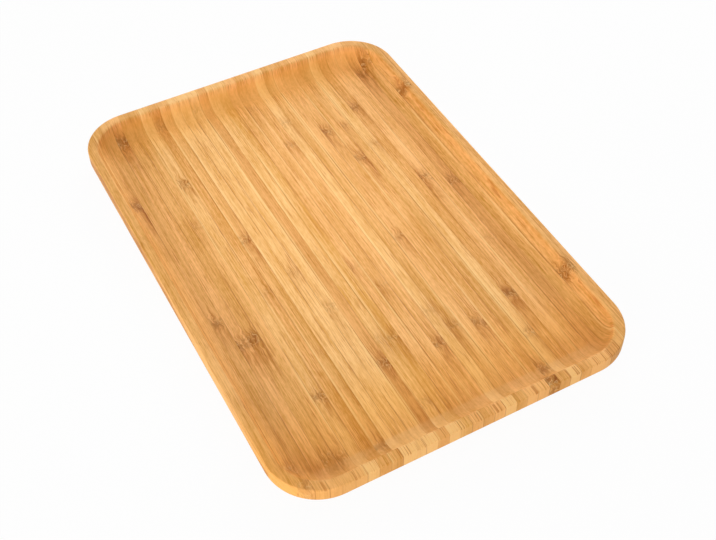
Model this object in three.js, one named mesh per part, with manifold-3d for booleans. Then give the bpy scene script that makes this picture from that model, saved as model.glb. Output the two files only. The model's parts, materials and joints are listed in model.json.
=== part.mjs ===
// A serving tray milled from one board of bamboo strips, which stand on edge and are glued side by side.
// Millimetres, +Z up. The strips run along Y, and the origin is on the base, under the middle of the tray.

import * as THREE from "three";
import { mergeVertices } from "three/addons/utils/BufferGeometryUtils.js";
import Module from "manifold-3d";

const wasm = await Module();
wasm.setup();

// Plan of the tray
const LENGTH = 320; // along the strips
const WIDTH = 220; // across the strips
const CORNER_RADIUS = 31; // of the outer edge
const LEAST_CORNER_RADIUS = 2; // of an edge stepped in further than the corner radius

// Section through the rim, as if its edges were still sharp
const FLOOR_THICKNESS = 6.5;
const RECESS_DEPTH = 11.5; // from the rim down to the floor
const RIM_WIDTH = 6.6;
const SIDE_HEIGHT = 8.7; // the upright outer side, from the rim down to the bevel
const BEVEL_ANGLE = THREE.MathUtils.degToRad(45); // of the underside, up from the table
const WALL_LEAN = THREE.MathUtils.degToRad(10); // of the inner wall, away from upright

// Rounding of the section's edges
const BASE_EDGE_ROUND = 5; // where the bevel meets the base
const LOWER_EDGE_ROUND = 1.6; // where the outer side meets the bevel
const OUTER_RIM_ROUND = 1;
const INNER_RIM_ROUND = 1.8;
const COVE_RADIUS = 12; // where the inner wall meets the floor

// The strips
const STRIP_WIDTH = 6.93;
const MIDDLE_JOINT = 2.6; // the glue joint nearest the middle, along X
const LEAST_EDGE_STRIP = 3; // a narrower offcut at the edge would stay part of its neighbour

// How finely curves are stepped
const SECTION_TOLERANCE = 0.05; // the most that a chord may lie off its arc
const CORNER_STEPS = 10;

// Finish: oiled bamboo, in the tones that the strips were sorted into
const ROUGHNESS = 0.5;
const TONES = { pale: "#efbf7d", straw: "#e4ae69", honey: "#d69c58", amber: "#c98a46" };
const STRIP_TONES = [
  "honey", "honey", "honey", "straw", "honey", "honey", "pale", "straw", "honey", "pale", "pale",
  "pale", "amber", "pale", "pale", "straw", "straw", "straw", "pale", "honey", "straw", "straw",
  "straw", "honey", "pale", "straw", "straw", "straw", "amber", "honey", "honey", "straw",
];

// One rounded corner of the section: the points of the arc that replaces the sharp point.
function roundedCorner(before, sharp, after, radius) {
  const back = before.clone().sub(sharp).normalize();
  const ahead = after.clone().sub(sharp).normalize();
  const halfAngle = back.angleTo(ahead) / 2;
  const toCentre = back.clone().add(ahead).normalize();
  const centre = sharp.clone().addScaledVector(toCentre, radius / Math.sin(halfAngle));
  const start = sharp.clone().addScaledVector(back, radius / Math.tan(halfAngle));
  const turn = Math.PI - 2 * halfAngle;
  const direction = -Math.sign(back.cross(ahead));
  const stepAngle = 2 * Math.acos(1 - Math.min(SECTION_TOLERANCE / radius, 1));
  const steps = Math.max(2, Math.ceil(turn / stepAngle));
  const points = [];
  for (let step = 0; step <= steps; step += 1) {
    points.push(start.clone().rotateAround(centre, (direction * turn * step) / steps));
  }
  return points;
}

// The section through the rim as points of (distance in from the outer edge, height). It runs from the base,
// up the outside, over the rim and down to the floor.
function rimSection() {
  const height = FLOOR_THICKNESS + RECESS_DEPTH;
  const middle = Math.min(LENGTH, WIDTH) / 2;
  const bevelRun = (height - SIDE_HEIGHT) / Math.tan(BEVEL_ANGLE);
  const wallRun = RECESS_DEPTH * Math.tan(WALL_LEAN);
  const wallHalfTurn = (Math.PI / 2 - WALL_LEAN) / 2;
  const wallLeft = RECESS_DEPTH / Math.cos(WALL_LEAN) - INNER_RIM_ROUND * Math.tan(wallHalfTurn);
  const cove = Math.min(COVE_RADIUS, wallLeft / Math.tan(wallHalfTurn));

  const baseMiddle = new THREE.Vector2(middle, 0);
  const baseEdge = new THREE.Vector2(bevelRun, 0);
  const lowerEdge = new THREE.Vector2(0, height - SIDE_HEIGHT);
  const outerRim = new THREE.Vector2(0, height);
  const innerRim = new THREE.Vector2(RIM_WIDTH, height);
  const wallFoot = new THREE.Vector2(RIM_WIDTH + wallRun, FLOOR_THICKNESS);
  const floorMiddle = new THREE.Vector2(middle, FLOOR_THICKNESS);
  return [
    ...roundedCorner(baseMiddle, baseEdge, lowerEdge, BASE_EDGE_ROUND),
    ...roundedCorner(baseEdge, lowerEdge, outerRim, LOWER_EDGE_ROUND),
    ...roundedCorner(lowerEdge, outerRim, innerRim, OUTER_RIM_ROUND),
    ...roundedCorner(outerRim, innerRim, wallFoot, INNER_RIM_ROUND),
    ...roundedCorner(innerRim, wallFoot, floorMiddle, cove),
  ];
}

// The tray's outline stepped in by a distance, as points that go round anticlockwise from above.
function outline(inset) {
  const radius = Math.max(CORNER_RADIUS - inset, LEAST_CORNER_RADIUS);
  const x = WIDTH / 2 - inset - radius;
  const y = LENGTH / 2 - inset - radius;
  const centres = [[x, y], [-x, y], [-x, -y], [x, -y]];
  return centres.flatMap(([centreX, centreY], quarter) => {
    const from = (quarter * Math.PI) / 2;
    const arc = new THREE.EllipseCurve(centreX, centreY, radius, radius, from, from + Math.PI / 2);
    return arc.getPoints(CORNER_STEPS);
  });
}

// The whole milled board: the section carried round the outline, with the base and the floor closed.
function milledBoard() {
  const section = rimSection();
  const rings = section.map((point) => outline(point.x));
  const around = rings[0].length;
  const positions = [];
  rings.forEach((ring, index) => {
    ring.forEach((point) => positions.push(point.x, point.y, section[index].y));
  });

  const faces = [];
  for (let point = 0; point < around; point += 1) {
    const next = (point + 1) % around;
    for (let ring = 0; ring < rings.length - 1; ring += 1) {
      const low = ring * around;
      const high = low + around;
      faces.push(low + point, low + next, high + next);
      faces.push(low + point, high + next, high + point);
    }
  }

  // The base and the floor are closed by bands along Y, each from a far point to the near point facing it.
  const floor = (rings.length - 1) * around;
  for (let point = 0; point < around / 2 - 1; point += 1) {
    const next = point + 1;
    const facing = around - 1 - point;
    const nextFacing = facing - 1;
    faces.push(facing, nextFacing, next);
    faces.push(facing, next, point);
    faces.push(floor + point, floor + next, floor + nextFacing);
    faces.push(floor + point, floor + nextFacing, floor + facing);
  }
  const geometry = new THREE.BufferGeometry();
  geometry.setAttribute("position", new THREE.Float32BufferAttribute(positions, 3));
  geometry.setIndex(faces);
  return geometry;
}

// The glue joints across the board, from left to right, with the two outer sides as the ends.
function stripEdges() {
  const reach = WIDTH / 2 - LEAST_EDGE_STRIP;
  const first = Math.ceil((-reach - MIDDLE_JOINT) / STRIP_WIDTH);
  const last = Math.floor((reach - MIDDLE_JOINT) / STRIP_WIDTH);
  const edges = [-WIDTH / 2];
  for (let joint = first; joint <= last; joint += 1) {
    edges.push(MIDDLE_JOINT + joint * STRIP_WIDTH);
  }
  edges.push(WIDTH / 2);
  return edges;
}

// The raw board between two joints, long and high enough to hold every milled surface.
function rawStrip(left, right) {
  const height = FLOOR_THICKNESS + RECESS_DEPTH;
  const geometry = new THREE.BoxGeometry(right - left, LENGTH * 1.1, height * 1.2);
  geometry.translate((left + right) / 2, 0, height / 2);
  return geometry;
}

function toSolid(geometry) {
  const bare = geometry.clone();
  bare.deleteAttribute("normal");
  bare.deleteAttribute("uv");
  const merged = mergeVertices(bare);
  const mesh = new wasm.Mesh({
    numProp: 3,
    vertProperties: new Float32Array(merged.attributes.position.array),
    triVerts: new Uint32Array(merged.index.array),
  });
  return new wasm.Manifold(mesh);
}

function toGeometry(solid) {
  const mesh = solid.getMesh();
  const geometry = new THREE.BufferGeometry();
  geometry.setAttribute("position", new THREE.BufferAttribute(new Float32Array(mesh.vertProperties), 3));
  geometry.setIndex(new THREE.BufferAttribute(new Uint32Array(mesh.triVerts), 1));
  geometry.computeVertexNormals();
  return geometry;
}

function stripName(index, count) {
  if (index === 0) {
    return "left_edge_strip";
  }
  if (index === count - 1) {
    return "right_edge_strip";
  }
  return `strip_${String(index + 1).padStart(2, "0")}`;
}

const tray = new THREE.Group();
const board = toSolid(milledBoard());
const edges = stripEdges();
const stripCount = edges.length - 1;
for (let index = 0; index < stripCount; index += 1) {
  const strip = board.intersect(toSolid(rawStrip(edges[index], edges[index + 1])));
  const tone = STRIP_TONES[index % STRIP_TONES.length];
  const finish = new THREE.MeshStandardMaterial({ color: TONES[tone], roughness: ROUGHNESS, metalness: 0 });
  const mesh = new THREE.Mesh(toGeometry(strip), finish);
  mesh.name = stripName(index, stripCount);
  tray.add(mesh);
}

export default tray;
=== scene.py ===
"""Dresses the bamboo serving tray: each glued strip as a milled, oiled piece, in a plain white studio."""

from __future__ import annotations

import json
import logging
import math
from dataclasses import dataclass
from enum import Enum
from typing import Any

import bpy
from mathutils import Matrix, Vector

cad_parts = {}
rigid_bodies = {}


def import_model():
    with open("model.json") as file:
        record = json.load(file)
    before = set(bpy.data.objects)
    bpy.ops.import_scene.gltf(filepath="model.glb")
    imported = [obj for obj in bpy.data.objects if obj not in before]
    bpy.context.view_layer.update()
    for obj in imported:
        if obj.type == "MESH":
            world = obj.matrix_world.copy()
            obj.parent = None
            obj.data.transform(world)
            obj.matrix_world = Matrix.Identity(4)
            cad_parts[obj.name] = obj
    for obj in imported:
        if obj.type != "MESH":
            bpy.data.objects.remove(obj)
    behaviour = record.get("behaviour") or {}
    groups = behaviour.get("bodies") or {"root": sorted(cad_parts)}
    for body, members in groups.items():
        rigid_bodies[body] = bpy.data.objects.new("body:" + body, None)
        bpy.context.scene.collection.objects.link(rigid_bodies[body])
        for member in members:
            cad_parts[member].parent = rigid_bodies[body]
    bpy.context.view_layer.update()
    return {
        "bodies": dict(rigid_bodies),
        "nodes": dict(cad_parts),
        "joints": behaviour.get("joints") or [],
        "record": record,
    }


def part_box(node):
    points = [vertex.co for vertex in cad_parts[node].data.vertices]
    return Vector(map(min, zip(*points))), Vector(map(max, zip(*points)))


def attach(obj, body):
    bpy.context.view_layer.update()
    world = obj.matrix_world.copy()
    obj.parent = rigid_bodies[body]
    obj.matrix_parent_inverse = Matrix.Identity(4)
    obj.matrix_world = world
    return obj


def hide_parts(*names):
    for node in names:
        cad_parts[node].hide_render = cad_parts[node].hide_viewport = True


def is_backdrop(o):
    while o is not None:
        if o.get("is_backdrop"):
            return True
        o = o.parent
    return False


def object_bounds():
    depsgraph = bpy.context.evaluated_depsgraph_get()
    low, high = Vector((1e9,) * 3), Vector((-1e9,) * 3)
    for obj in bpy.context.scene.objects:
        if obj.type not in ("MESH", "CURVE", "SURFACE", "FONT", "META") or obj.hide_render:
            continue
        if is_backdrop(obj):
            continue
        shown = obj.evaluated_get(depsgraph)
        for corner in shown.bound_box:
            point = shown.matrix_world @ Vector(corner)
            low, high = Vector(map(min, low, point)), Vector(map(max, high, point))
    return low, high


Socket = bpy.types.NodeSocket

log = logging.getLogger("tray")

MM = 0.001


def linear(hex_colour: str) -> tuple[float, float, float, float]:
    """Turns an sRGB hex colour into linear light.

    Args:
        hex_colour: Six hex digits after a hash sign.

    Returns:
        Red, green and blue in linear light, and an alpha of 1.
    """
    channels = [int(hex_colour[start : start + 2], 16) / 255 for start in (1, 3, 5)]
    red, green, blue = (c / 12.92 if c <= 0.04045 else ((c + 0.055) / 1.055) ** 2.4 for c in channels)
    return red, green, blue, 1.0


def add_node(
    tree: bpy.types.NodeTree, kind: str, inputs: dict[Any, Any] | None = None, **settings: Any,
) -> bpy.types.Node:
    """Adds one node with its settings, its input values and its links.

    Args:
        tree: The tree that gets the node.
        kind: The node's type in Blender.
        inputs: Input name or number, against a value, or the socket or node that feeds it. A node feeds it by
            its first output.
        settings: The node's own options.

    Returns:
        The new node.
    """
    node = tree.nodes.new(kind)
    for option, value in settings.items():
        setattr(node, option, value)
    for key, value in (inputs or {}).items():
        if isinstance(value, bpy.types.Node):
            tree.links.new(value.outputs[0], node.inputs[key])
        elif isinstance(value, Socket):
            tree.links.new(value, node.inputs[key])
        else:
            node.inputs[key].default_value = value
    return node


class Tone(Enum):
    """The tones that the strips were sorted into. The value is the record's material slot."""

    PALE = "bamboo_pale"
    STRAW = "bamboo_straw"
    HONEY = "bamboo_honey"
    AMBER = "bamboo_amber"


class Bark(Enum):
    """The side of a strip that faced the cane's bark, where the fibres are denser and darker."""

    LEFT = -1.0
    EITHER = 0.0
    RIGHT = 1.0


class Mark(Enum):
    """How dark a knuckle of the bamboo came out. The value is its strength."""

    NONE = 0.0
    FAINT = 0.25
    LIGHT = 0.42
    MEDIUM = 0.65
    DARK = 0.95
    DEEP = 1.25


@dataclass(frozen=True)
class Knuckle:
    """A knuckle of the bamboo, where the cane had a joint, as it crosses one strip.

    Attributes:
        place_mm: Where it lies along the tray, from the middle towards the far end.
        mark: How dark it is.
    """

    place_mm: float = 0.0
    mark: Mark = Mark.NONE


@dataclass(frozen=True)
class StripLook:
    """What sets one strip's looks apart from its neighbours'.

    Attributes:
        tone: The tone that the strip was sorted into.
        shade: A little lighter, above 0, or darker, below 0, than its tone.
        bark: Its darker side.
        knuckles: The strip's knuckles, three at most.
    """

    tone: Tone
    shade: float = 0.0
    bark: Bark = Bark.EITHER
    knuckles: tuple[Knuckle, ...] = ()


# The strips from the left long side to the right one.
STRIP_LOOKS = (
    StripLook(Tone.HONEY, 0.1, Bark.EITHER, (Knuckle(44, Mark.FAINT), Knuckle(-90, Mark.FAINT))),
    StripLook(
        Tone.HONEY, 0.05, Bark.RIGHT,
        (Knuckle(82, Mark.DEEP), Knuckle(-134, Mark.MEDIUM), Knuckle(-153, Mark.MEDIUM)),
    ),
    StripLook(Tone.HONEY, 0.15, Bark.EITHER, (Knuckle(-25, Mark.DARK),)),
    StripLook(Tone.STRAW, 0.1, Bark.EITHER, (Knuckle(143, Mark.DEEP), Knuckle(-46, Mark.DEEP))),
    StripLook(Tone.HONEY, 0.0, Bark.EITHER, (Knuckle(-47, Mark.DEEP), Knuckle(-137, Mark.MEDIUM))),
    StripLook(Tone.HONEY, 0.2, Bark.LEFT, (Knuckle(51, Mark.LIGHT), Knuckle(-138, Mark.MEDIUM))),
    StripLook(Tone.PALE, 0.05, Bark.RIGHT, (Knuckle(90, Mark.DARK), Knuckle(-99, Mark.DARK))),
    StripLook(Tone.STRAW, -0.2, Bark.RIGHT, (Knuckle(147, Mark.MEDIUM), Knuckle(-19, Mark.LIGHT))),
    StripLook(Tone.HONEY, 0.2, Bark.RIGHT, (Knuckle(26, Mark.DARK), Knuckle(-144, Mark.MEDIUM))),
    StripLook(Tone.PALE, 0.2, Bark.RIGHT),
    StripLook(Tone.PALE, 0.2, Bark.EITHER, (Knuckle(-12, Mark.LIGHT),)),
    StripLook(Tone.PALE, 0.2, Bark.LEFT, (Knuckle(149, Mark.LIGHT), Knuckle(-47, Mark.MEDIUM))),
    StripLook(Tone.AMBER, 0.35, Bark.RIGHT, (Knuckle(-95, Mark.DARK),)),
    StripLook(Tone.PALE, 0.1, Bark.RIGHT, (Knuckle(-80, Mark.LIGHT), Knuckle(-131, Mark.LIGHT))),
    StripLook(Tone.PALE, -0.3, Bark.RIGHT, (Knuckle(-83, Mark.MEDIUM),)),
    StripLook(Tone.STRAW, 0.1, Bark.LEFT, (Knuckle(-26, Mark.LIGHT),)),
    StripLook(Tone.STRAW, 0.0, Bark.LEFT, (Knuckle(134, Mark.LIGHT), Knuckle(-46, Mark.LIGHT))),
    StripLook(Tone.STRAW, 0.1, Bark.EITHER, (Knuckle(90, Mark.MEDIUM), Knuckle(-99, Mark.DARK))),
    StripLook(Tone.PALE, 0.2, Bark.RIGHT, (Knuckle(110, Mark.MEDIUM), Knuckle(-76, Mark.LIGHT))),
    StripLook(Tone.HONEY, 0.05, Bark.LEFT, (Knuckle(-92, Mark.MEDIUM),)),
    StripLook(Tone.STRAW, 0.2, Bark.RIGHT, (Knuckle(-16, Mark.MEDIUM),)),
    StripLook(Tone.STRAW, 0.0, Bark.EITHER, (Knuckle(90, Mark.DARK), Knuckle(-96, Mark.DARK))),
    StripLook(Tone.STRAW, -0.05, Bark.RIGHT, (Knuckle(56, Mark.DARK), Knuckle(-157, Mark.DEEP))),
    StripLook(Tone.HONEY, 0.15, Bark.LEFT, (Knuckle(89, Mark.LIGHT), Knuckle(-142, Mark.DARK))),
    StripLook(Tone.PALE, 0.2, Bark.RIGHT, (Knuckle(64, Mark.LIGHT), Knuckle(-118, Mark.MEDIUM))),
    StripLook(Tone.STRAW, -0.2, Bark.EITHER, (Knuckle(103, Mark.DARK), Knuckle(-86, Mark.DEEP))),
    StripLook(Tone.STRAW, 0.2, Bark.LEFT, (Knuckle(21, Mark.DARK),)),
    StripLook(Tone.STRAW, 0.15, Bark.EITHER, (Knuckle(-44, Mark.LIGHT),)),
    StripLook(Tone.AMBER, 0.35, Bark.EITHER, (Knuckle(131, Mark.DARK), Knuckle(10, Mark.DARK))),
    StripLook(Tone.HONEY, 0.0, Bark.LEFT, (Knuckle(139, Mark.DARK),)),
    StripLook(Tone.HONEY, 0.15, Bark.EITHER, (Knuckle(95, Mark.DEEP), Knuckle(-95, Mark.DEEP))),
    StripLook(Tone.STRAW, -0.1, Bark.LEFT),
)


@dataclass(frozen=True)
class MilledForm:
    """The sizes that the board is milled to, in metres.

    Attributes:
        length: Along the strips.
        width: Across the strips.
        height: From the base to the rim.
        corner_radius: Of the outer edge, seen from above.
        floor_thickness: From the base to the floor of the recess.
        rim_width: Of the flat rim, before its edges are rounded.
        side_height: Of the upright outer side, from the rim down to the bevel.
        bevel_angle: Of the underside, up from the table.
        wall_lean: Of the inner wall, away from upright.
        base_edge_round: Where the bevel meets the base.
        lower_edge_round: Where the outer side meets the bevel.
        outer_rim_round: At the rim's outer edge.
        inner_rim_round: At the rim's inner edge.
        cove_radius: Where the inner wall meets the floor.
    """

    length: float
    width: float
    height: float
    corner_radius: float = 31 * MM
    floor_thickness: float = 6.5 * MM
    rim_width: float = 6.6 * MM
    side_height: float = 8.7 * MM
    bevel_angle: float = math.radians(45)
    wall_lean: float = math.radians(10)
    base_edge_round: float = 5 * MM
    lower_edge_round: float = 1.6 * MM
    outer_rim_round: float = 1 * MM
    inner_rim_round: float = 1.8 * MM
    cove_radius: float = 12 * MM

    @property
    def bevel_run(self) -> float:
        """How far in from the outer side the bevel meets the base."""
        return (self.height - self.side_height) / math.tan(self.bevel_angle)

    @property
    def wall_foot(self) -> float:
        """How far in from the outer side the inner wall would meet the floor."""
        return self.rim_width + (self.height - self.floor_thickness) * math.tan(self.wall_lean)

    def section(self) -> list[tuple[float, float, float]]:
        """The section through the rim.

        Returns:
            Points of distance in from the outer side, height and rounding, from the base over the rim to the
            floor.
        """
        return [
            (self.bevel_run + self.base_edge_round, 0.0, 0.0),
            (self.bevel_run, 0.0, self.base_edge_round),
            (0.0, self.height - self.side_height, self.lower_edge_round),
            (0.0, self.height, self.outer_rim_round),
            (self.rim_width, self.height, self.inner_rim_round),
            (self.wall_foot, self.floor_thickness, self.cove_radius),
            (self.wall_foot + self.cove_radius, self.floor_thickness, 0.0),
        ]


@dataclass(frozen=True)
class StripMill:
    """Mills the whole board in a node tree and saws one strip out of it at a time.

    Attributes:
        form: The sizes of the milled board.
        corner_points: Points that round each corner of the outline.
        section_points: Points that round each edge of the section.
        sharp_angle: Edges that turn more than this stay sharp.
        weld: Points nearer than this become one.
        saw_lengths: The length of the box that a strip is cut out with, in lengths of the board.
        saw_heights: The height of that box, in heights of the board.
    """

    form: MilledForm
    corner_points: int = 24
    section_points: int = 10
    sharp_angle: float = math.radians(40)
    weld: float = 0.002 * MM
    saw_lengths: float = 2.0
    saw_heights: float = 4.0

    def tree(self) -> bpy.types.NodeTree:
        """Builds the node tree.

        Returns:
            A tree whose inputs are the board's sizes, the strip's edges, its marks and its material.
        """
        tree = bpy.data.node_groups.new("milled_bamboo_strip", "GeometryNodeTree")
        tree.is_modifier = True
        for name in (*self.inputs(), *StripMarks.NAMES, "Left edge", "Right edge"):
            tree.interface.new_socket(name, in_out="INPUT", socket_type="NodeSocketFloat")
        tree.interface.new_socket("Bamboo", in_out="INPUT", socket_type="NodeSocketMaterial")
        tree.interface.new_socket("Strip", in_out="OUTPUT", socket_type="NodeSocketGeometry")
        given = add_node(tree, "NodeGroupInput").outputs
        strip = self.sawn(tree, given, self.board(tree, given))
        for name in StripMarks.NAMES:
            mark = {"Geometry": strip, "Name": name, "Value": given[name]}
            strip = add_node(tree, "GeometryNodeStoreNamedAttribute", mark, data_type="FLOAT", domain="POINT")
        realized = add_node(tree, "GeometryNodeRealizeInstances", {"Geometry": strip})
        finish = {"Geometry": realized, "Material": given["Bamboo"]}
        dressed = add_node(tree, "GeometryNodeSetMaterial", finish)
        add_node(tree, "NodeGroupOutput", {"Strip": dressed})
        return tree

    def inputs(self) -> dict[str, float]:
        """The board's sizes by the names of the tree's inputs."""
        form = self.form
        sizes = {"Length": form.length, "Width": form.width, "Corner radius": form.corner_radius}
        for number, (inset, height, rounding) in enumerate(form.section()):
            sizes[f"Inset {number}"] = inset
            sizes[f"Height {number}"] = height
            sizes[f"Rounding {number}"] = rounding
        return sizes

    def board(self, tree: bpy.types.NodeTree, given: Any) -> bpy.types.Node:
        """Carries the section round the outline and closes the base and the floor.

        Args:
            tree: The tree under construction.
            given: The tree's inputs.

        Returns:
            The node that gives the milled board as one closed mesh.
        """
        sides = {"Width": given["Width"], "Height": given["Length"]}
        rectangle = add_node(tree, "GeometryNodeCurvePrimitiveQuadrilateral", sides)
        corners = {"Curve": rectangle, "Count": self.corner_points, "Radius": given["Corner radius"]}
        outline = add_node(tree, "GeometryNodeFilletCurve", corners, mode="POLY")
        level = add_node(tree, "GeometryNodeSetCurveNormal", {"Curve": outline}, mode="Z_UP")
        sweep = {"Curve": level, "Profile Curve": self.section(tree, given)}
        rim = add_node(tree, "GeometryNodeCurveToMesh", sweep)

        # The swept rim is open along its lowest and its innermost edge, which the base and the floor close.
        place = add_node(tree, "GeometryNodeInputPosition")
        height = add_node(tree, "ShaderNodeSeparateXYZ", {0: place}).outputs["Z"]
        floor = given[f"Height {len(self.form.section()) - 1}"]
        half_way = add_node(tree, "ShaderNodeMath", {0: floor, 1: 0.5}, operation="MULTIPLY")
        faces = {2: add_node(tree, "GeometryNodeInputMeshEdgeNeighbors"), 3: 1}
        open_edge = add_node(tree, "FunctionNodeCompare", faces, data_type="INT", operation="EQUAL")
        caps = []
        for side, lift in (("LESS_THAN", 0.0), ("GREATER_THAN", floor)):
            this_side = add_node(tree, "FunctionNodeCompare", {"A": height, "B": half_way}, operation=side)
            chosen = add_node(tree, "FunctionNodeBooleanMath", {0: open_edge, 1: this_side})
            loop = add_node(tree, "GeometryNodeMeshToCurve", {"Mesh": rim, "Selection": chosen})
            flat = add_node(tree, "GeometryNodeFillCurve", {"Curve": loop}, mode="NGONS")
            up = add_node(tree, "ShaderNodeCombineXYZ", {"Z": lift})
            caps.append(add_node(tree, "GeometryNodeTransform", {"Geometry": flat, "Translation": up}))
        base, floor_cap = caps
        together = add_node(tree, "GeometryNodeJoinGeometry", {0: floor_cap})
        for piece in (rim, base):
            outward = add_node(tree, "GeometryNodeFlipFaces", {"Mesh": piece})
            tree.links.new(outward.outputs[0], together.inputs[0])
        welded = {"Geometry": together, "Distance": self.weld}
        return add_node(tree, "GeometryNodeMergeByDistance", welded)

    def section(self, tree: bpy.types.NodeTree, given: Any) -> bpy.types.Node:
        """Draws the section through the rim, with its edges rounded.

        Args:
            tree: The tree under construction.
            given: The tree's inputs.

        Returns:
            The node that gives the section as a curve, turned to suit the way round of the outline.
        """
        count = len(self.form.section())
        index = add_node(tree, "GeometryNodeInputIndex")
        places = add_node(tree, "GeometryNodeIndexSwitch", {"Index": index}, data_type="VECTOR")
        roundings = add_node(tree, "GeometryNodeIndexSwitch", {"Index": index}, data_type="FLOAT")
        for switch in (places, roundings):
            for _ in range(count - len(switch.index_switch_items)):
                switch.index_switch_items.new()
        for number in range(count):
            corner = {}
            for axis, size in (("X", "Inset"), ("Y", "Height")):
                turned = {0: given[f"{size} {number}"], 1: -1.0}
                corner[axis] = add_node(tree, "ShaderNodeMath", turned, operation="MULTIPLY")
            place = add_node(tree, "ShaderNodeCombineXYZ", corner)
            tree.links.new(place.outputs[0], places.inputs[str(number)])
            tree.links.new(given[f"Rounding {number}"], roundings.inputs[str(number)])
        line = add_node(tree, "GeometryNodeMeshLine", {"Count": count})
        placed = add_node(tree, "GeometryNodeSetPosition", {"Geometry": line, "Position": places})
        curve = add_node(tree, "GeometryNodeMeshToCurve", {"Mesh": placed})
        rounded = {"Curve": curve, "Count": self.section_points, "Radius": roundings}
        return add_node(tree, "GeometryNodeFilletCurve", rounded, mode="POLY")

    def sawn(self, tree: bpy.types.NodeTree, given: Any, board: bpy.types.Node) -> bpy.types.Node:
        """Saws the board along the strip's two edges.

        Args:
            tree: The tree under construction.
            given: The tree's inputs.
            board: The node that gives the milled board.

        Returns:
            The node that gives the strip, smooth apart from its sawn edges.
        """
        edges = {0: given["Right edge"], 1: given["Left edge"]}
        wide = add_node(tree, "ShaderNodeMath", edges, operation="SUBTRACT")
        both = add_node(tree, "ShaderNodeMath", edges, operation="ADD")
        middle = add_node(tree, "ShaderNodeMath", {0: both, 1: 0.5}, operation="MULTIPLY")
        long = self.saw_lengths * self.form.length
        high = self.saw_heights * self.form.height
        size = add_node(tree, "ShaderNodeCombineXYZ", {"X": wide, "Y": long, "Z": high})
        cube = add_node(tree, "GeometryNodeMeshCube", {"Size": size})
        place = add_node(tree, "ShaderNodeCombineXYZ", {"X": middle})
        saw = add_node(tree, "GeometryNodeTransform", {"Geometry": cube, "Translation": place})
        cut = add_node(tree, "GeometryNodeMeshBoolean", operation="INTERSECT", solver="EXACT")
        for solid in (board, saw):
            tree.links.new(solid.outputs[0], cut.inputs["Mesh 2"])
        smooth = add_node(tree, "GeometryNodeSetShadeSmooth", {"Geometry": cut}, domain="FACE")
        turn = add_node(tree, "GeometryNodeInputMeshEdgeAngle").outputs["Unsigned Angle"]
        sharper = {"A": turn, "B": self.sharp_angle}
        sharp = add_node(tree, "FunctionNodeCompare", sharper, operation="GREATER_THAN")
        edged = {"Geometry": smooth, "Selection": sharp, "Shade Smooth": False}
        return add_node(tree, "GeometryNodeSetShadeSmooth", edged, domain="EDGE")

    def saw(
        self, tree: bpy.types.NodeTree, name: str, edges: tuple[float, float], marks: dict[str, float],
        bamboo: bpy.types.Material,
    ) -> bpy.types.Object:
        """Makes one strip as a plain mesh.

        Args:
            tree: The mill's node tree.
            name: The new piece's name.
            edges: The strip's left and right edges.
            marks: The strip's marks by name.
            bamboo: Its material.

        Returns:
            The piece, at the origin, with its place in its mesh.
        """
        blank = bpy.data.objects.new(name + "_blank", bpy.data.meshes.new(name + "_blank"))
        bpy.context.scene.collection.objects.link(blank)
        modifier = blank.modifiers.new("mill", "NODES")
        modifier.node_group = tree
        values = {**self.inputs(), **marks, "Left edge": edges[0], "Right edge": edges[1], "Bamboo": bamboo}
        for socket in tree.interface.items_tree:
            if socket.in_out == "INPUT":
                modifier[socket.identifier] = values[socket.name]
        bpy.context.view_layer.update()
        evaluated = blank.evaluated_get(bpy.context.evaluated_depsgraph_get())
        mesh = bpy.data.meshes.new_from_object(evaluated)
        mesh.name = name
        bpy.data.objects.remove(blank)
        piece = bpy.data.objects.new(name, mesh)
        bpy.context.scene.collection.objects.link(piece)
        return piece


class StripMarks:
    """The numbers that a strip's mesh carries for its material to read."""

    MOST_KNUCKLES = 3
    NAMES = (
        "strip_seed", "strip_shade", "strip_left", "strip_right", "bark_side",
        "knuckle_1", "knuckle_1_mark", "knuckle_2", "knuckle_2_mark", "knuckle_3", "knuckle_3_mark",
    )

    @staticmethod
    def of(number: int, look: StripLook, edges: tuple[float, float]) -> dict[str, float]:
        """The marks of one strip.

        Args:
            number: The strip's place from the left, which seeds its grain.
            look: What sets its looks apart.
            edges: Its left and right edges.

        Returns:
            A value for each of the names.
        """
        values = [float(number + 1), look.shade, edges[0], edges[1], look.bark.value]
        unused = [Knuckle()] * (StripMarks.MOST_KNUCKLES - len(look.knuckles))
        for knuckle in (*look.knuckles, *unused):
            values += [knuckle.place_mm * MM, knuckle.mark.value]
        return dict(zip(StripMarks.NAMES, values))


@dataclass(frozen=True)
class Grains:
    """A cloudy pattern whose grains have a real size.

    Attributes:
        size_mm: The grains' size across, along and up the strip.
        shift: Sets this pattern apart from the others.
        detail: How many finer layers it has.
        low: How bright the cloud is where the pattern begins to show.
        high: How bright the cloud is where the pattern is full.
        least: The pattern's value where it doesn't show.
        most: Its value where it is full.
    """

    size_mm: tuple[float, float, float]
    shift: float
    detail: float = 2.0
    low: float = 0.0
    high: float = 1.0
    least: float = 0.0
    most: float = 1.0


@dataclass(frozen=True)
class Drift:
    """A cloudy pattern that goes above and below 0.

    Attributes:
        grains: The size of its grains.
        weight: How far it goes.
        middle: The part of the cloud that comes out as 0.
    """

    grains: Grains
    weight: float = 1.0
    middle: float = 0.5


@dataclass(frozen=True)
class Reach:
    """How far along the strip a knuckle has an effect.

    Attributes:
        near_mm: How far towards the near end.
        far_mm: How far towards the far end.
        strength: The effect at a knuckle whose mark is 1.
    """

    near_mm: float
    far_mm: float
    strength: float = 1.0


class Coat(Enum):
    """How a colour goes over the one below. The value is Blender's name for it."""

    COVER = "MIX"
    TINT = "MULTIPLY"


@dataclass(frozen=True)
class Layer:
    """A colour that goes over the strip's own where a pattern shows.

    Attributes:
        coat: How it goes over the colour below.
        colour: The colour.
        most: How much of it shows where the pattern is full.
    """

    coat: Coat
    colour: str
    most: float = 1.0


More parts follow.
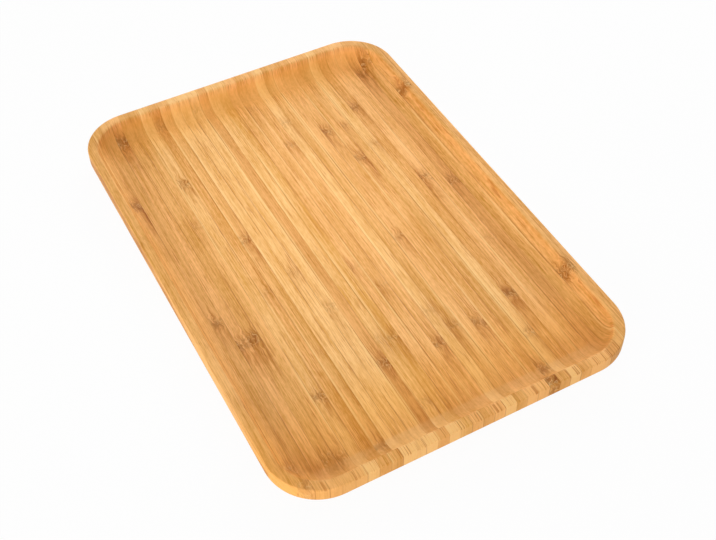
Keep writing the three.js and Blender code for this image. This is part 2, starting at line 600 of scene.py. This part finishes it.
class Step(Enum):
    """A step in working out a pattern. The value is the node that takes it, and the node's settings."""

    ADD = ("ShaderNodeMath", {"operation": "ADD"})
    SUBTRACT = ("ShaderNodeMath", {"operation": "SUBTRACT"})
    MULTIPLY = ("ShaderNodeMath", {"operation": "MULTIPLY"})
    DIVIDE = ("ShaderNodeMath", {"operation": "DIVIDE"})
    LARGER = ("ShaderNodeMath", {"operation": "MAXIMUM"})
    SMALLER = ("ShaderNodeMath", {"operation": "MINIMUM"})
    ABSOLUTE = ("ShaderNodeMath", {"operation": "ABSOLUTE"})
    SHARE = ("ShaderNodeMath", {"operation": "MULTIPLY", "use_clamp": True})
    EASE = ("ShaderNodeMapRange", {"interpolation_type": "SMOOTHSTEP"})


@dataclass(frozen=True)
class BambooFinish:
    """Side-pressed bamboo, sanded and oiled.

    Attributes:
        slot: The record's material slot.
        light: The paler of the strip's two streak colours.
        deep: The darker of them.
        fibre: The fine dark fibres.
        gleam: A strip's pale edge, which lay towards the pith.
        joint: The glue line.
        smudge: The soft brown round a knuckle, which also carries the painted shade at the foot of the near
            cove.
        oil: Painted shade: a darker, warmer tint towards the tray's ends.
        knuckle: A knuckle's dark middle.
        fleck: The pale flecks in a knuckle.
        ior: How strongly the oiled finish bends light.
        gloss: How much of a bare surface's gloss is left after sanding.
    """

    slot: Tone
    light: str
    deep: str
    fibre: Layer = Layer(Coat.COVER, "#b8691d", 0.55)
    gleam: Layer = Layer(Coat.COVER, "#ffd690", 0.6)
    joint: Layer = Layer(Coat.COVER, "#994a08", 0.55)
    smudge: Layer = Layer(Coat.TINT, "#c0952a")
    # Painted shade: a darker, warmer tint towards the tray's ends.
    oil: Layer = Layer(Coat.TINT, "#fff5d9")
    knuckle: Layer = Layer(Coat.COVER, "#7a400c", 0.42)
    fleck: Layer = Layer(Coat.COVER, "#ffd690", 0.4)
    ior: float = 1.5
    gloss: float = 0.2

    def material(self, form: MilledForm) -> bpy.types.Material:
        """Builds the material.

        Args:
            form: The sizes of the tray that it dresses.

        Returns:
            A node material that reads Object coordinates and the strip's marks.
        """
        # The eye sees warm streaks and fine dark fibres along each strip, brown knuckles across it, and a
        # soft satin sheen without hard highlights.
        bamboo = bpy.data.materials.new("side_pressed_" + self.slot.value)
        bamboo.use_nodes = True
        tree = bamboo.node_tree
        tree.nodes.clear()
        grain = BambooGrain(tree, form)
        colour = grain.streaked(linear(self.light), linear(self.deep))
        layers = (
            (self.fibre, grain.fibres()),
            (self.gleam, grain.joint_gleam()),
            (self.joint, grain.joint_line()),
            # The smudge layer also carries painted shade at the foot of the near cove.
            (self.smudge, grain.smudges()),
            # Painted shade: darker and warmer towards the tray's ends.
            (self.oil, grain.oil_soak()),
            (self.knuckle, grain.knuckles()),
            (self.fleck, grain.flecks()),
        )
        for layer, pattern in layers:
            laid = {0: grain.step(Step.SHARE, pattern, layer.most), 6: colour, 7: linear(layer.colour)}
            blend = layer.coat.value
            colour = add_node(tree, "ShaderNodeMix", laid, data_type="RGBA", blend_type=blend).outputs[2]
        surface = {
            "Base Color": colour,
            "Roughness": grain.shown(grain.SATIN),
            "Normal": grain.relief(),
            "IOR": self.ior,
            "Specular IOR Level": self.gloss,
        }
        shader = add_node(tree, "ShaderNodeBsdfPrincipled", surface)
        add_node(tree, "ShaderNodeOutputMaterial", {"Surface": shader.outputs[0]})
        return bamboo


class BambooGrain:
    """The patterns of a bamboo strip, in one material's node tree. X is across the strip and Y along it."""

    # How far apart the strips' patterns lie, in metres
    APART = (0.37, 0.53, 0.29)

    # The pairs and fours of numbers below are fades: the two ends of a range, and what they turn into, which
    # is 0 and 1 if not given.

    # Zones of the tray, by the distance in from its outer edge, along or across it, or above the rim
    END_NOT_SIDE = (-4 * MM, 12 * MM)
    OPEN_ENDS = (11 * MM, 5 * MM)
    RIM_CUT = (6.5 * MM, 4.5 * MM)
    COVE_FOOT = (21.5 * MM, 18 * MM)
    COVE_TOP = (8 * MM, 6.5 * MM)
    OUTER_SIDE = (0.9 * MM, 0.3 * MM)
    BELOW_RIM = (-0.5 * MM, -1.4 * MM)
    ROUGH_CUT = (-50 * MM, 50 * MM, 1.0, 0.3)
    BLUR = 0.7

    # The strip's own colour. Real fibres are finer than the finest streaks, which are drawn as coarse as they
    # need to be to show.
    STREAKS = (
        Drift(Grains((3.4, 190.0, 14.0), 0.0), 0.8),
        Drift(Grains((1.5, 110.0, 12.0), 5.0), 1.04),
        Drift(Grains((0.7, 50.0, 10.0), 10.0), 2.0),
        Drift(Grains((2.6, 18.0, 10.0), 15.0), 0.44),
        Drift(Grains((0.6, 4.0, 8.0), 20.0), 1.6),
        Drift(Grains((30.0, 48.0, 30.0), 25.0), 1.2),
    )
    FINE_STREAK_MM = 2.0
    UPTAKE = Drift(Grains((900.0, 90.0, 900.0), 67.0, 0.0), 2.4, 0.4)
    FUZZ = Drift(Grains((1.5, 1.8, 8.0), 89.0), 0.8)
    BARK_SHADE = -0.3
    CUT_LIFT = 0.3
    # Painted light: the outer long sides are drawn paler, as if lit from the side.
    SIDE_LIFT = 0.55
    MIDDLE_SHADE = 0.5
    PALEST = 1.25
    DARKEST = -0.25

    # Fine fibres, and the pores where the ends were cut
    HAIR = Grains((0.55, 17.0, 10.0), 23.0, low=0.54, high=0.74)
    BARK_HAIR = 0.05
    KNUCKLE_HAIR = Reach(14.0, 22.0, 0.06)
    PORES = Grains((0.9, 300.0, 300.0), 73.0, 0.0, 0.54, 0.66)
    OPEN_STRIPS = Grains((5.0, 900.0, 900.0), 79.0, 0.0, 0.48, 0.6)
    PORES_ON_RIM = (-1.4 * MM, -0.6 * MM, 0.12, 1.1)

    # Knuckles, and the eyes that fibres turned round
    MARK_GROWTH = 0.4
    LEAST_GROWTH = 0.65
    WAVE = Drift(Grains((6.0, 60.0, 6.0), 31.0, 0.0), 8 * MM)
    SWAY = Drift(Grains((7.0, 6.0, 7.0), 41.0))
    SWERVE = Reach(12.0, 16.0, 6 * MM)
    MIDDLE = Reach(6.0, 8.0)
    BLOTCH = Grains((2.2, 3.6, 6.0), 37.0, low=0.46, high=0.8)
    MORE_BLOTCH = 0.16
    EYES = Drift(Grains((3.2, 6.0, 6.0), 61.0, 1.0))
    RING = (0.0, 0.08, 0.75, 0.0)
    FLECK_PLACE = 0.13
    FLECK = (0.0, 0.035, 1.0, 0.0)

    # The brown round a knuckle, which runs on towards the near end, and painted shade at the foot of the near
    # cove
    SMUDGE = Reach(8.0, 14.0, 0.8)
    TAIL = Reach(36.0, 3.0, 0.82)
    HAZE = Reach(36.0, 40.0, 0.18)
    TAIL_OFF_WALL = (6 * MM, 17 * MM, 0.15, 1.0)
    TRAIL = Grains((1.5, 9.0, 6.0), 29.0, low=0.34, high=0.62, least=0.3)
    BARK_SMUDGE = 0.8
    MIDDLE_SMUDGE = 0.7
    # Painted shade along the foot of the near cove, deeper towards the near left corner
    NEAR_FOOT = (-118 * MM, -138 * MM)
    FOOT_OFF_WALL = (7 * MM, 20 * MM, 0.15, 1.0)
    FOOT_TO_LEFT = (-55 * MM, -85 * MM, 0.16, 0.4)

    # Glue joints, drawn wider than they are so that they show
    GLUE = Grains((9.0, 60.0, 30.0), 43.0, low=0.4, high=0.65)
    GLUE_LINE = (0.1 * MM, 0.45 * MM, 1.0, 0.0)
    OPEN_JOINTS = Grains((7.0, 900.0, 900.0), 83.0, 0.0, 0.42, 0.62, 0.1, 0.9)
    PLANED = Grains((9.0, 80.0, 30.0), 71.0, low=0.4, high=0.58)
    GLEAM_BEGINS = (0.3 * MM, 0.6 * MM)
    GLEAM_ENDS = (0.8 * MM, 1.4 * MM, 1.0, 0.0)
    PITH_SIDE = (-0.1, -0.4)

    # Painted shade: the floor darker and warmer towards its ends, most at the near one, and on the near rim,
    # with less on the coves and the top of the far wall
    OIL_NEAR = (-80 * MM, -130 * MM)
    OIL_NEAR_COVE = (0.0, 1.0, 1.0, 0.25)
    OIL_RIGHT_COVE = (88 * MM, 102 * MM, 1.0, 0.35)
    OIL_FAR = (118 * MM, 146 * MM, 0.0, 0.85)
    OIL_FAR_WALL = (-6 * MM, -1 * MM, 1.0, 0.0)
    OIL_RIM = (0.0, -50 * MM, 0.0, 0.5)

    # Sheen and relief
    SATIN = Grains((1.2, 60.0, 1.6), 47.0, low=0.3, high=0.7, least=0.58, most=0.72)
    RIDGES = Grains((0.6, 45.0, 10.0), 53.0)
    RAISED_GRAIN = Grains((0.6, 2.6, 8.0), 59.0)
    RELIEF = 0.1 * MM
    RELIEF_SHARE = 0.25

    def __init__(self, tree: bpy.types.NodeTree, form: MilledForm) -> None:
        """Starts the patterns with the place on the strip and its marks.

        Args:
            tree: The material's node tree.
            form: The sizes of the tray.
        """
        self.tree = tree
        self.form = form
        place = add_node(tree, "ShaderNodeTexCoord").outputs["Object"]
        self.across, self.along, up = add_node(tree, "ShaderNodeSeparateXYZ", {0: place}).outputs
        self.above_rim = self.step(Step.SUBTRACT, up, form.height)
        self.marks = {
            name: add_node(tree, "ShaderNodeAttribute", attribute_name=name).outputs["Fac"]
            for name in StripMarks.NAMES
        }
        # Each strip has its own stretch of the endless pattern.
        own = {0: self.APART, "Scale": self.marks["strip_seed"]}
        apart = add_node(tree, "ShaderNodeVectorMath", own, operation="SCALE").outputs[0]
        self.place = add_node(tree, "ShaderNodeVectorMath", {0: place, 1: apart}).outputs[0]
        self.bark = self.towards_bark()
        self.knuckle_offsets = [self.from_knuckle(number + 1) for number in range(StripMarks.MOST_KNUCKLES)]
        self.inset, self.end = self.plan()
        self.ends = self.at_end(self.OPEN_ENDS)
        self.cut = self.at_end(self.RIM_CUT)
        self.foot = self.at_end(self.COVE_FOOT)
        self.cove = self.step(Step.SUBTRACT, self.foot, self.at_end(self.COVE_TOP))
        # The far rim was sanded finer than the near one, so its cut shows less.
        self.rough = self.zone((self.along, self.ROUGH_CUT))
        self.crisp = self.crispness()
        self.unroll()
        self.swirl()
        # A knuckle's middle lies on a wave across the strip.
        self.band = self.around_knuckles(self.MIDDLE, self.drift(self.WAVE))
        self.eye = self.step(Step.ABSOLUTE, self.drift(self.EYES))

    def step(self, step: Step, *values: Any) -> Socket:
        """Takes one step in working out a pattern.

        Args:
            step: What is done.
            values: The numbers or sockets that it is done with. EASE takes a value, the two ends of its
                range, and what they turn into, which is 0 and 1 if not given.

        Returns:
            The socket with the result.
        """
        kind, settings = step.value
        return add_node(self.tree, kind, dict(enumerate(values)), **settings).outputs[0]

    def chain(self, step: Step, result: Any, *others: Any) -> Socket:
        """Takes the same step with one value after another.

        Args:
            step: What is done.
            result: The number or socket to begin with.
            others: What it is done with, in turn.

        Returns:
            The socket with the result.
        """
        for other in others:
            result = self.step(step, result, other)
        return result

    def zone(self, *limits: tuple[Socket, tuple[float, ...]]) -> Socket:
        """The part of the tray that several fades leave.

        Args:
            limits: A measure, such as the distance along the tray, and the fade along it.

        Returns:
            The socket with the fades multiplied.
        """
        return self.chain(Step.MULTIPLY, *(self.step(Step.EASE, measure, *fade) for measure, fade in limits))

    def cloud(self, grains: Grains) -> Socket:
        """A cloudy pattern in its real size.

        Args:
            grains: The size of its grains.

        Returns:
            The socket with the pattern, about 0.5 on average.
        """
        scale = tuple(1 / (size * MM) for size in grains.size_mm)
        stretch = {0: self.place, 1: scale, 2: (grains.shift,) * 3}
        place = add_node(self.tree, "ShaderNodeVectorMath", stretch, operation="MULTIPLY_ADD").outputs[0]
        inputs = {"Vector": place, "Scale": 1.0, "Detail": grains.detail}
        return add_node(self.tree, "ShaderNodeTexNoise", inputs).outputs[0]

    def drift(self, drift: Drift) -> Socket:
        """A cloudy pattern that goes above and below 0."""
        level = self.step(Step.SUBTRACT, self.cloud(drift.grains), drift.middle)
        return self.step(Step.MULTIPLY, level, drift.weight)

    def shown(self, grains: Grains, *pushes: Socket) -> Socket:
        """A cloudy pattern of which only the brighter part shows, and more of it where a push is above 0."""
        level = self.chain(Step.ADD, self.cloud(grains), *pushes)
        return self.step(Step.EASE, level, grains.low, grains.high, grains.least, grains.most)

    def plan(self) -> tuple[Socket, Socket]:
        """Where a place lies in the tray's plan.

        Returns:
            The distance in from the outer edge, and how much that edge is an end: 1 at the ends, 0 at the
            long sides.
        """
        radius = self.form.corner_radius
        from_middle = self.step(Step.ABSOLUTE, self.across)
        past_side = self.step(Step.SUBTRACT, from_middle, self.form.width / 2 - radius)
        from_middle = self.step(Step.ABSOLUTE, self.along)
        past_end = self.step(Step.SUBTRACT, from_middle, self.form.length / 2 - radius)
        corner = {"X": self.step(Step.LARGER, past_side, 0.0), "Y": self.step(Step.LARGER, past_end, 0.0)}
        corner_place = add_node(self.tree, "ShaderNodeCombineXYZ", corner).outputs[0]
        outward = add_node(self.tree, "ShaderNodeVectorMath", {0: corner_place}, operation="LENGTH")
        inward = self.step(Step.SMALLER, self.step(Step.LARGER, past_side, past_end), 0.0)
        inset = self.chain(Step.SUBTRACT, radius, outward.outputs["Value"], inward)
        end = self.zone((self.step(Step.SUBTRACT, past_end, past_side), self.END_NOT_SIDE))
        return inset, end

    def at_end(self, fade: tuple[float, float]) -> Socket:
        """1 at the tray's two ends from a distance in from the outer edge outwards, and 0 further in."""
        return self.step(Step.MULTIPLY, self.zone((self.inset, fade)), self.end)

    def long_side(self) -> Socket:
        """1 on the outer sides along the tray, and 0 elsewhere. There the colour is lifted: painted light
        from the side, on wood that sanding laid bare.
        """
        side = self.zone((self.inset, self.OUTER_SIDE))
        return self.step(Step.MULTIPLY, side, self.step(Step.SUBTRACT, 1.0, self.end))

    def crispness(self) -> Socket:
        """How crisp the fine lines are: 1 as planed, and less where the ends were sanded across the fibres.

        Returns:
            The socket with the result.
        """
        below_rim = self.zone((self.above_rim, self.BELOW_RIM))
        sanded = self.step(Step.LARGER, self.step(Step.SUBTRACT, 1.0, self.rough), below_rim)
        sanded = self.step(Step.LARGER, self.cove, self.step(Step.MULTIPLY, self.cut, sanded))
        return self.step(Step.SUBTRACT, 1.0, self.step(Step.MULTIPLY, sanded, self.BLUR))

    def towards_bark(self) -> Socket:
        """How far across the strip a place lies towards the bark.

        Returns:
            The socket with the result, from -0.5 on the pith's side to 0.5 on the bark's.
        """
        left, right = self.marks["strip_left"], self.marks["strip_right"]
        inward = self.step(Step.SUBTRACT, self.across, left)
        share = self.step(Step.DIVIDE, inward, self.step(Step.SUBTRACT, right, left))
        return self.step(Step.MULTIPLY, self.step(Step.SUBTRACT, share, 0.5), self.marks["bark_side"])

    def from_knuckle(self, number: int) -> tuple[Socket, Socket]:
        """How dark one of the strip's knuckles is, and the way to it. A darker knuckle is a larger one.

        Args:
            number: Which of the knuckles.

        Returns:
            The sockets with its mark and with the distance along the strip from it, drawn in for a large one.
        """
        mark = self.marks[f"knuckle_{number}_mark"]
        size = self.step(Step.ADD, self.step(Step.MULTIPLY, mark, self.MARK_GROWTH), self.LEAST_GROWTH)
        distance = self.step(Step.SUBTRACT, self.along, self.marks[f"knuckle_{number}"])
        return mark, self.step(Step.DIVIDE, distance, size)

    def around_knuckles(self, reach: Reach, shift_by: Any = 0.0) -> Socket:
        """A soft band at each of the strip's knuckles.

        Args:
            reach: How far the band reaches, and how strong it is.
            shift_by: Moves the band along the strip.

        Returns:
            The socket with the band.
        """
        total: Any = 0.0
        for mark, offset in self.knuckle_offsets:
            moved = self.step(Step.ADD, offset, shift_by)
            rise = self.step(Step.EASE, moved, -reach.near_mm * MM, 0.0)
            fall = self.step(Step.EASE, moved, 0.0, reach.far_mm * MM, 1.0, 0.0)
            total = self.step(Step.LARGER, total, self.chain(Step.MULTIPLY, rise, fall, mark))
        return self.step(Step.MULTIPLY, total, reach.strength)

    def move_across(self, distance: Socket) -> None:
        """Moves the place that the later patterns read by a distance across the strip."""
        push = add_node(self.tree, "ShaderNodeCombineXYZ", {"X": distance}).outputs[0]
        self.place = add_node(self.tree, "ShaderNodeVectorMath", {0: self.place, 1: push}).outputs[0]

    def unroll(self) -> None:
        """Carries the lines across the rim on down the outer long sides."""
        self.move_across(self.step(Step.MULTIPLY, self.long_side(), self.above_rim))

    def swirl(self) -> None:
        """Lets the fibres swerve round a knuckle."""
        sway = self.drift(self.SWAY)
        self.move_across(self.step(Step.MULTIPLY, sway, self.around_knuckles(self.SWERVE)))

    def streaked(self, light: Any, deep: Any) -> Socket:
        """The strip's colour: broad and fine streaks, a slow drift along it, a darker bark side, and painted
        light on the outer long sides.

        Args:
            light: The paler of the two streak colours.
            deep: The darker of them.

        Returns:
            The socket with the colour.
        """
        changes = [self.MIDDLE_SHADE, self.step(Step.MULTIPLY, self.bark, self.BARK_SHADE)]
        for streaks in self.STREAKS:
            change = self.drift(streaks)
            if streaks.grains.size_mm[0] < self.FINE_STREAK_MM:
                change = self.step(Step.MULTIPLY, change, self.crisp)
            changes.append(change)
        # Each strip's open ends took up the oil in their own way, and sanding left the coves a little woolly.
        changes.append(self.step(Step.MULTIPLY, self.drift(self.UPTAKE), self.ends))
        changes.append(self.step(Step.MULTIPLY, self.drift(self.FUZZ), self.cove))
        changes.append(self.step(Step.MULTIPLY, self.cut, self.CUT_LIFT))
        # Painted light: the outer long sides are paler, as if lit from the side, on wood that sanding laid
        # bare.
        changes.append(self.step(Step.MULTIPLY, self.long_side(), self.SIDE_LIFT))
        share = self.chain(Step.ADD, self.marks["strip_shade"], *changes)
        share = self.step(Step.LARGER, self.step(Step.SMALLER, share, self.PALEST), self.DARKEST)
        mixed = {0: share, 6: deep, 7: light}
        return add_node(self.tree, "ShaderNodeMix", mixed, data_type="RGBA", clamp_factor=False).outputs[2]

    def fibres(self) -> Socket:
        """Fine dark fibres, more towards the bark and near a knuckle, and pores where the ends were cut.

        Returns:
            The socket with the pattern.
        """
        by_bark = self.step(Step.MULTIPLY, self.bark, self.BARK_HAIR)
        hair = self.shown(self.HAIR, by_bark, self.around_knuckles(self.KNUCKLE_HAIR))
        hair = self.step(Step.MULTIPLY, hair, self.crisp)
        on_rim = self.zone((self.above_rim, self.PORES_ON_RIM))
        open_strips = self.shown(self.OPEN_STRIPS)
        pores = self.chain(Step.MULTIPLY, self.shown(self.PORES), open_strips, self.rough, self.cut, on_rim)
        return self.step(Step.LARGER, hair, pores)

    def smudges(self) -> Socket:
        """The soft brown round a knuckle, stronger towards the bark, and painted shade along the foot of the
        near cove.

        Returns:
            The socket with the pattern.
        """
        # Towards the near end the brown runs on for a while, but it was sanded off the walls.
        off_wall = self.zone((self.inset, self.TAIL_OFF_WALL))
        tail = self.step(Step.LARGER, self.around_knuckles(self.TAIL), self.around_knuckles(self.HAZE))
        tail = self.step(Step.MULTIPLY, tail, off_wall)
        band = self.step(Step.LARGER, self.around_knuckles(self.SMUDGE), tail)
        trail = self.shown(self.TRAIL)
        by_bark = self.step(Step.MULTIPLY, self.bark, self.BARK_SMUDGE)
        side = self.step(Step.ADD, by_bark, self.MIDDLE_SMUDGE)
        knuckles = self.step(Step.SHARE, self.step(Step.MULTIPLY, band, trail), side)
        # The painted shade along the foot is deeper towards the near left corner.
        foot = self.zone(
            (self.along, self.NEAR_FOOT), (self.inset, self.FOOT_OFF_WALL), (self.across, self.FOOT_TO_LEFT),
        )
        return self.step(Step.LARGER, knuckles, self.step(Step.MULTIPLY, foot, trail))

    def knuckles(self) -> Socket:
        """The dark middle of a knuckle: blotches, and rings where the fibres turned round an eye.

        Returns:
            The socket with the pattern.
        """
        blotch = self.shown(self.BLOTCH, self.step(Step.MULTIPLY, self.band, self.MORE_BLOTCH))
        ring = self.zone((self.eye, self.RING))
        return self.step(Step.SHARE, self.band, self.step(Step.LARGER, blotch, ring))

    def flecks(self) -> Socket:
        """Pale flecks beside a knuckle's rings, where the fibres were cut across."""
        off_ring = self.step(Step.ABSOLUTE, self.step(Step.SUBTRACT, self.eye, self.FLECK_PLACE))
        return self.step(Step.SHARE, self.band, self.zone((off_ring, self.FLECK)))

    def from_joint(self) -> Socket:
        """The distance to the nearer of the strip's two edges, in metres."""
        left = self.step(Step.SUBTRACT, self.across, self.marks["strip_left"])
        right = self.step(Step.SUBTRACT, self.marks["strip_right"], self.across)
        return self.step(Step.SMALLER, left, right)

    def joint_line(self) -> Socket:
        """The glue line at the strip's edges, broken along the strip, and open at some of the end cuts.

        Returns:
            The socket with the pattern.
        """
        edge = self.zone((self.from_joint(), self.GLUE_LINE))
        uncut = self.step(Step.SUBTRACT, 1.0, self.cut)
        closed = self.chain(Step.MULTIPLY, self.shown(self.GLUE), self.crisp, uncut)
        opened = self.chain(Step.MULTIPLY, self.shown(self.OPEN_JOINTS), self.rough, self.cut)
        return self.step(Step.MULTIPLY, edge, self.step(Step.LARGER, closed, opened))

    def joint_gleam(self) -> Socket:
        """A paler edge beside some joints, where the pith's side of a strip was planed clean.

        Returns:
            The socket with the pattern.
        """
        joint = self.from_joint()
        edge = self.zone((joint, self.GLEAM_BEGINS), (joint, self.GLEAM_ENDS), (self.bark, self.PITH_SIDE))
        return self.chain(Step.MULTIPLY, edge, self.shown(self.PLANED), self.crisp)

    def oil_soak(self) -> Socket:
        """Painted shade, darker and warmer: at both ends of the floor, most at the near one, and on the near
        rim.

        Returns:
            The socket with the pattern.
        """
        near = self.zone(
            (self.along, self.OIL_NEAR), (self.foot, self.OIL_NEAR_COVE), (self.across, self.OIL_RIGHT_COVE),
        )
        far = self.zone((self.along, self.OIL_FAR), (self.above_rim, self.OIL_FAR_WALL))
        rim = self.step(Step.MULTIPLY, self.zone((self.along, self.OIL_RIM)), self.cut)
        return self.chain(Step.LARGER, near, far, rim)

    def relief(self) -> Socket:
        """The slight relief of sanded fibres: long ridges and short raised grain.

        Returns:
            The socket with the surface's normal.
        """
        height = self.step(Step.ADD, self.cloud(self.RIDGES), self.cloud(self.RAISED_GRAIN))
        bump = {"Strength": self.RELIEF_SHARE, "Distance": self.RELIEF, "Height": height}
        return add_node(self.tree, "ShaderNodeBump", bump).outputs[0]


@dataclass(frozen=True)
class Tray:
    """The serving tray: its strips, milled together and glued side by side.

    Attributes:
        mill: What its strips are milled and sawn with.
        nodes: The strips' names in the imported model, from left to right.
        finishes: The finish of each tone.
    """

    mill: StripMill
    nodes: list[str]
    finishes: tuple[BambooFinish, ...] = (
        BambooFinish(Tone.PALE, "#ffc880", "#e6a755"),
        BambooFinish(Tone.STRAW, "#fdbf77", "#df9e4e"),
        BambooFinish(Tone.HONEY, "#f5b86e", "#d79846"),
        BambooFinish(Tone.AMBER, "#ecac63", "#cd8c3d"),
    )

    @classmethod
    def from_frame(cls, frame: dict[str, Any]) -> Tray:
        """Takes the tray's sizes and strips from the frame.

        Args:
            frame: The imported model.

        Returns:
            The tray, ready to be built.
        """
        low, high = (Vector(corner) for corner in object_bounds())
        size = high - low
        form = MilledForm(length=size.y, width=size.x, height=size.z)
        return cls(StripMill(form), sorted(frame["nodes"], key=lambda name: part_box(name)[0].x))

    def build(self) -> list[bpy.types.Object]:
        """Saws every strip, dresses it and puts it in its node's place.

        Returns:
            The strips from left to right.
        """
        tree = self.mill.tree()
        bamboo = {finish.slot: finish.material(self.mill.form) for finish in self.finishes}
        pieces = []
        for number, (node, look) in enumerate(zip(self.nodes, STRIP_LOOKS, strict=True)):
            low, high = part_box(node)
            edges = (low.x, high.x)
            marks = StripMarks.of(number, look, edges)
            piece = self.mill.saw(tree, "bamboo_" + node, edges, marks, bamboo[look.tone])
            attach(piece, "root")
            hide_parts(node)
            log.info("%s: %d faces", piece.name, len(piece.data.polygons))
            pieces.append(piece)
        return pieces


class LampKind(Enum):
    """The two kinds of lamp in the studio."""

    SOFTBOX = "AREA"
    SPOT = "SPOT"


@dataclass(frozen=True)
class Lamp:
    """One studio lamp.

    Attributes:
        name: The lamp's name.
        kind: A softbox or a soft spot.
        place: Where it hangs, in metres.
        aim: The point that it faces.
        watts: Its power.
        size: A softbox's side, or a spot's radius.
        cone: The angle that a spot opens to.
    """

    name: str
    kind: LampKind
    place: tuple[float, float, float]
    aim: tuple[float, float, float]
    watts: float
    size: float
    cone: float = math.radians(22)

    def hang(self) -> None:
        """Adds the lamp to the scene."""
        lamp = bpy.data.lights.new(self.name, self.kind.value)
        lamp.energy = self.watts
        if self.kind is LampKind.SOFTBOX:
            lamp.size = self.size
        else:
            lamp.shadow_soft_size = self.size
            lamp.spot_size = self.cone
            lamp.spot_blend = 1.0
        hung = bpy.data.objects.new(self.name, lamp)
        away = Vector(self.place) - Vector(self.aim)
        turn = away.to_track_quat("Z", "Y").to_matrix()
        hung.matrix_world = Matrix.Translation(self.place) @ turn.to_4x4()
        bpy.context.scene.collection.objects.link(hung)


@dataclass(frozen=True)
class Studio:
    """A white floor, soft light from all round and the camera at the photograph's angle.

    Attributes:
        surround: The strength of the white surround as a light.
        lamps: The studio's lamps.
        azimuth: The camera's turn about the tray. At 0 it looks along +Y.
        elevation: The camera's angle above the table.
        roll: The camera's turn about its own axis.
        place: Where the camera stands, in metres.
        lens_mm: Its focal length on a sensor 36 mm wide.
        nearest: The nearest distance that it sees.
        paper: The colour of the floor.
        paper_glow: How much of the floor shows plain white in place of its own shading.
        floor_reach: How far the floor reaches each way.
        floor_drop: How far it lies below the base, so that the two faces never lie in one plane.
    """

    surround: float = 0.472
    lamps: tuple[Lamp, ...] = (
        Lamp("softbox_near_left", LampKind.SOFTBOX, (-1.22, -0.77, 0.39), (0, 0, 0), 13.8, 0.9),
        Lamp("softbox_far_right", LampKind.SOFTBOX, (0.96, 0.96, 0.63), (0, 0, 0), 10.7, 0.9),
        Lamp("spot_above", LampKind.SPOT, (0, 0.09, 0.95), (0, 0.03, 0), 10.4, 0.12),
    )
    azimuth: float = math.radians(-28.1272)
    elevation: float = math.radians(48.5088)
    roll: float = math.radians(-0.5473)
    place: tuple[float, float, float] = (-0.21144, -0.42238, 0.51149)
    lens_mm: float = 56.887
    nearest: float = 10 * MM
    paper: str = "#f6f6f6"
    paper_glow: float = 0.95
    floor_reach: float = 4.0
    floor_drop: float = 0.1 * MM

    def camera(self) -> None:
        """Sets up the camera and makes it the scene's own."""
        flat = math.cos(self.elevation)
        east, north = math.sin(self.azimuth) * flat, -math.cos(self.azimuth) * flat
        back = Vector((east, north, math.sin(self.elevation)))
        right = Vector((0, 0, 1)).cross(back).normalized()
        up = back.cross(right)
        turned_right = math.cos(self.roll) * right + math.sin(self.roll) * up
        turned_up = math.cos(self.roll) * up - math.sin(self.roll) * right
        axes = Matrix((turned_right, turned_up, back)).transposed()
        lens = bpy.data.cameras.new("camera")
        lens.lens = self.lens_mm
        lens.clip_start = self.nearest
        camera = bpy.data.objects.new("camera", lens)
        camera.matrix_world = Matrix.Translation(self.place) @ axes.to_4x4()
        bpy.context.scene.collection.objects.link(camera)
        bpy.context.scene.camera = camera

    def floor(self) -> None:
        """Lays a white floor that keeps a soft shadow."""
        mesh = bpy.data.meshes.new("floor")
        reach, low = self.floor_reach, -self.floor_drop
        corners = [(-reach, -reach, low), (reach, -reach, low), (reach, reach, low), (-reach, reach, low)]
        mesh.from_pydata(corners, [], [(0, 1, 2, 3)])
        floor = bpy.data.objects.new("floor", mesh)
        bpy.context.scene.collection.objects.link(floor)
        # Uncoated paper has no sheen, so the eye sees a plain ground with a faint shadow.
        paper = bpy.data.materials.new("white_paper")
        paper.use_nodes = True
        tree = paper.node_tree
        tree.nodes.clear()
        matt = add_node(tree, "ShaderNodeBsdfDiffuse", {"Color": linear(self.paper)})
        glow = add_node(tree, "ShaderNodeEmission", {"Strength": 1.0})
        seen = {0: self.seen(tree), 1: self.paper_glow}
        share = add_node(tree, "ShaderNodeMath", seen, operation="MULTIPLY")
        mixed = add_node(tree, "ShaderNodeMixShader", {0: share, 1: matt, 2: glow})
        add_node(tree, "ShaderNodeOutputMaterial", {"Surface": mixed})
        mesh.materials.append(paper)
        floor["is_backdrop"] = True

    @staticmethod
    def seen(tree: bpy.types.NodeTree) -> bpy.types.Node:
        """Tells the rays that show the background to the eye from those that are light.

        Args:
            tree: The tree of the background's material.

        Returns:
            The node that gives 1 for rays seen straight, in a reflection or through glass, and 0 for light.
        """
        rays = add_node(tree, "ShaderNodeLightPath").outputs
        glossy = {0: rays["Is Camera Ray"], 1: rays["Is Glossy Ray"]}
        either = add_node(tree, "ShaderNodeMath", glossy, operation="MAXIMUM")
        clear = {0: either, 1: rays["Is Transmission Ray"]}
        return add_node(tree, "ShaderNodeMath", clear, operation="MAXIMUM")

    def light(self) -> None:
        """Lights the tray from a white surround, two low softboxes and a spot from above."""
        world = bpy.data.worlds.new("white_room")
        bpy.context.scene.world = world
        world.use_nodes = True
        tree = world.node_tree
        tree.nodes.clear()
        white = linear("#ffffff")
        fill = add_node(tree, "ShaderNodeBackground", {"Color": white, "Strength": self.surround})
        plain = add_node(tree, "ShaderNodeBackground", {"Color": white, "Strength": 1.0})
        either = add_node(tree, "ShaderNodeMixShader", {0: self.seen(tree), 1: fill, 2: plain})
        add_node(tree, "ShaderNodeOutputWorld", {"Surface": either})
        for lamp in self.lamps:
            lamp.hang()


def main() -> None:
    """Builds the tray and the studio."""
    logging.basicConfig(level=logging.INFO, format="%(name)s: %(message)s")
    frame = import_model()
    bpy.context.scene.view_settings.view_transform = "Standard"
    studio = Studio()
    studio.camera()
    studio.floor()
    studio.light()
    pieces = Tray.from_frame(frame).build()
    log.info("%d strips", len(pieces))


if __name__ == "__main__":
    main()
